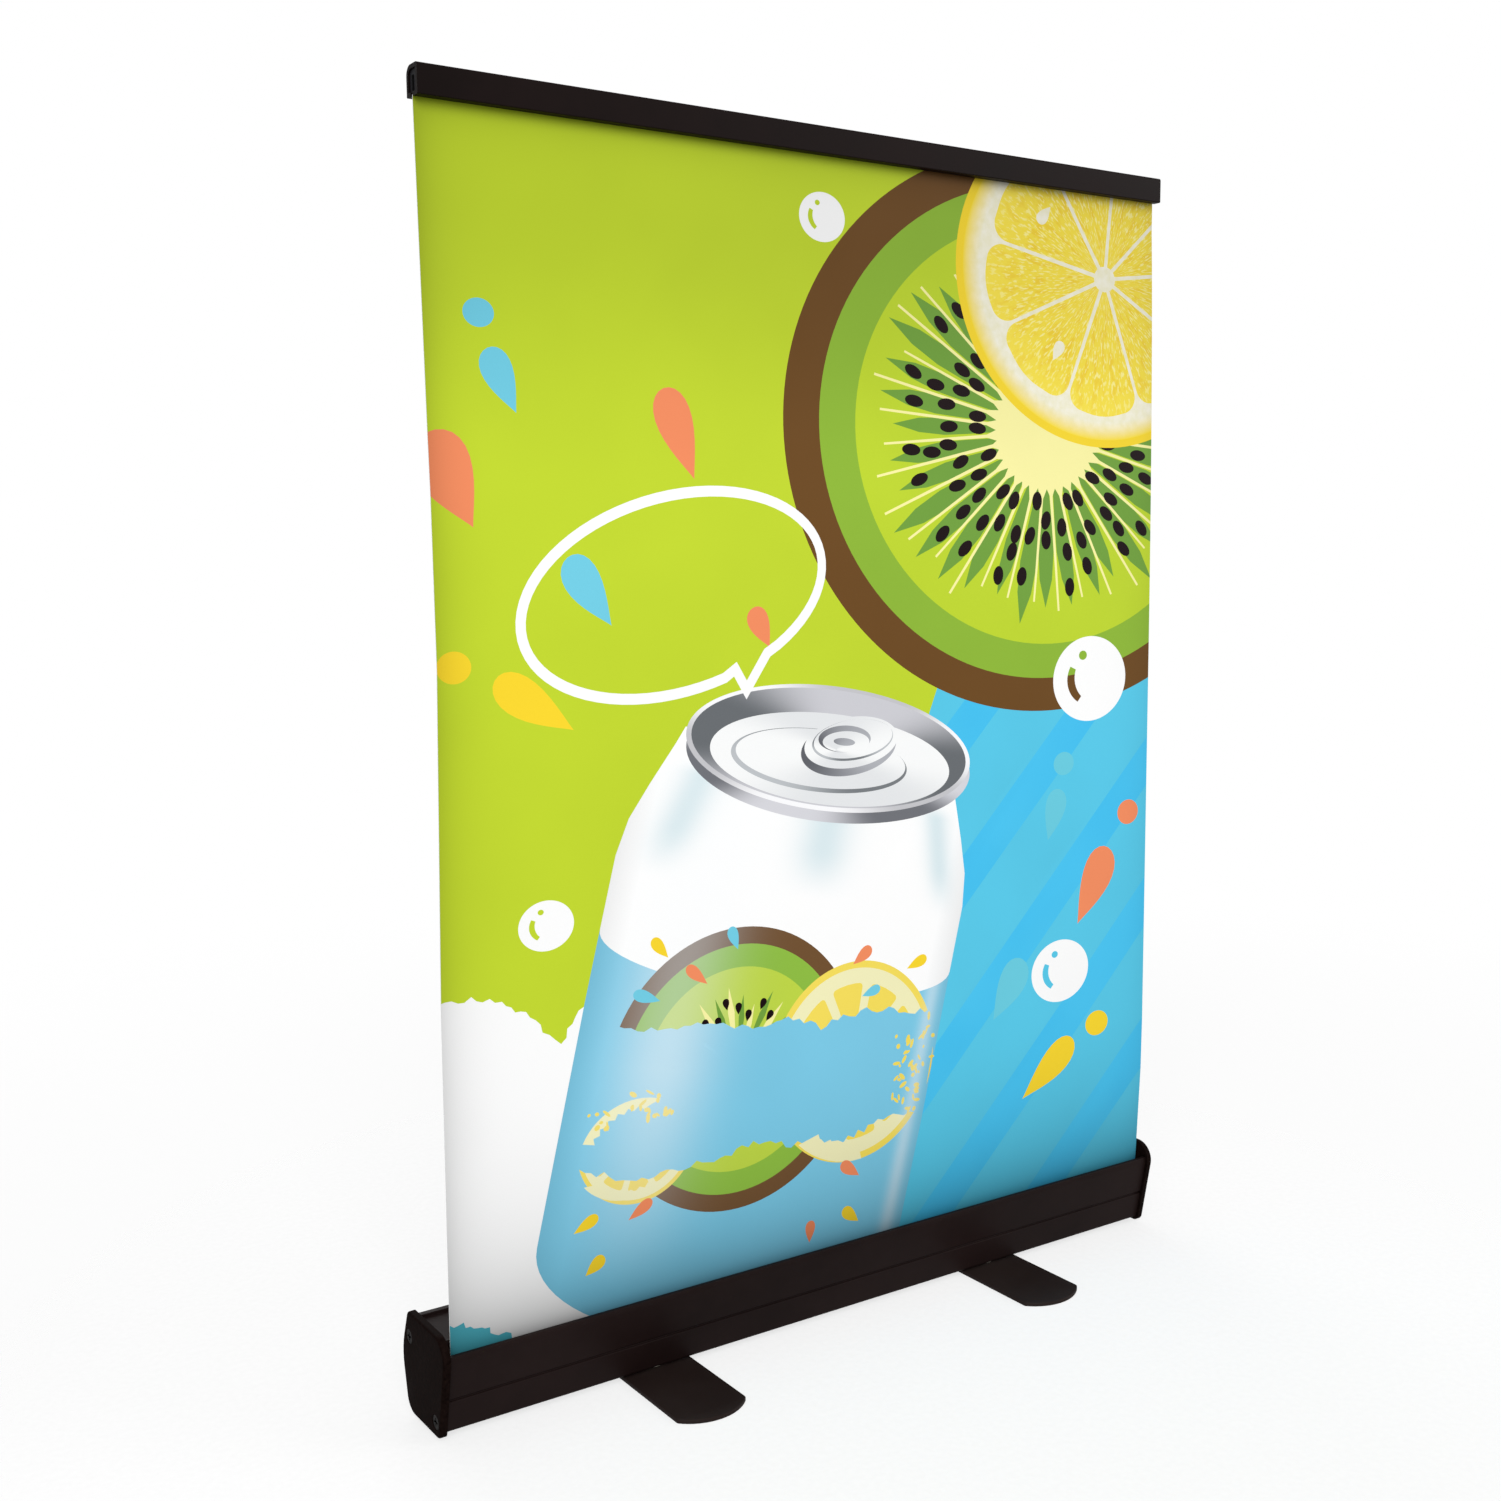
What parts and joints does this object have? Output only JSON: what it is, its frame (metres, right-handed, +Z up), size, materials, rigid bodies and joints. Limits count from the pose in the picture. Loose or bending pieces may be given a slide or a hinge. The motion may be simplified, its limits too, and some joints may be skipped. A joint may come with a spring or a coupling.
{
  "type": "roll-up banner stand",
  "caption": "Tabletop roll-up banner stand: sprung roller cassette on swivel feet, printed film, clamp rail along its top edge and a telescopic pole behind it.",
  "frame": {"origin": "on the table, under the middle of the cassette", "axes": "+X to the right of someone who faces the print, +Y to the back, +Z up"},
  "size_m": [0.306, 0.0946, 0.4083],
  "materials": {
    "black_aluminium": "extruded, black powder coat, satin with a fine grain",
    "black_steel_strip": "steel strip, black powder coat, satin with a fine grain",
    "black_plastic": "black moulded plastic, spark-eroded texture",
    "grey_plastic": "dark grey moulded plastic",
    "natural_nylon": "natural nylon",
    "printed_film": "satin polyester film with a colour print",
    "plain_film": "unprinted white polyester film",
    "tube_aluminium": "drawn tube, natural anodised",
    "plated_steel": "zinc plated",
    "black_steel": "black oxide",
    "spring_steel": "oiled spring wire"
  },
  "bodies": {
    "cassette": {"cassette_shell": "black_aluminium", "left_end_cap": "black_plastic", "right_end_cap": "black_plastic", "end_cap_screws": "black_steel", "foot_rivets": "plated_steel", "foot_washers": "natural_nylon", "pole_socket": "black_plastic", "idle_pin": "plated_steel", "spring_arbor": "plated_steel", "spring_collar": "natural_nylon", "roller_spring": "spring_steel", "film_leader": "plain_film", "banner_film": "printed_film", "pole_base_plug": "black_plastic", "pole_lower_tube": "tube_aluminium", "pole_lower_collar": "black_plastic"},
    "left_foot": {"left_foot": "black_steel_strip"},
    "right_foot": {"right_foot": "black_steel_strip"},
    "roller": {"roller_tube": "tube_aluminium", "idle_plug": "natural_nylon", "spring_plug": "natural_nylon", "spring_anchor": "natural_nylon", "film_roll": "plain_film"},
    "header": {"header_rail": "black_aluminium", "film_clamp_rod": "grey_plastic", "left_rail_plug": "grey_plastic", "right_rail_plug": "grey_plastic", "pole_hook": "black_plastic", "hook_rivets": "plated_steel"},
    "pole_middle": {"pole_middle_tube": "tube_aluminium", "pole_middle_collar": "black_plastic", "pole_middle_bush": "natural_nylon"},
    "pole_upper": {"pole_upper_tube": "tube_aluminium", "pole_upper_bush": "natural_nylon", "pole_tip": "black_plastic"}
  },
  "joints": [
    {"name": "left_foot_swivel", "type": "hinge", "parent": "cassette", "child": "left_foot", "pos_m": [-0.0735, 0, 0], "axis": [0, 0, 1], "range_deg": [-90, 90]},
    {"name": "right_foot_swivel", "type": "hinge", "parent": "cassette", "child": "right_foot", "pos_m": [0.0735, 0, 0], "axis": [0, 0, 1], "range_deg": [-90, 90]},
    {"name": "header_slide", "type": "slide", "parent": "cassette", "child": "header", "axis": [0, 0, 1], "range_m": [-0.21, 0], "deforming": ["banner_film"]},
    {"name": "pole_middle_slide", "type": "slide", "parent": "cassette", "child": "pole_middle", "axis": [0, 0, 1], "range_m": [-0.105, 0]},
    {"name": "pole_upper_slide", "type": "slide", "parent": "pole_middle", "child": "pole_upper", "axis": [0, 0, 1], "range_m": [-0.105, 0]},
    {"name": "roller_spin", "type": "hinge", "parent": "cassette", "child": "roller", "pos_m": [0, 0.0004, 0.0154], "axis": [1, 0, 0], "range_deg": [0, 1594]}
  ],
  "couplings": [
    {"joint": "pole_middle_slide", "follows": "header_slide", "ratio": 0.5},
    {"joint": "pole_upper_slide", "follows": "header_slide", "ratio": 0.5},
    {"joint": "roller_spin", "follows": "header_slide", "rad_per_m": -132.45}
  ]
}
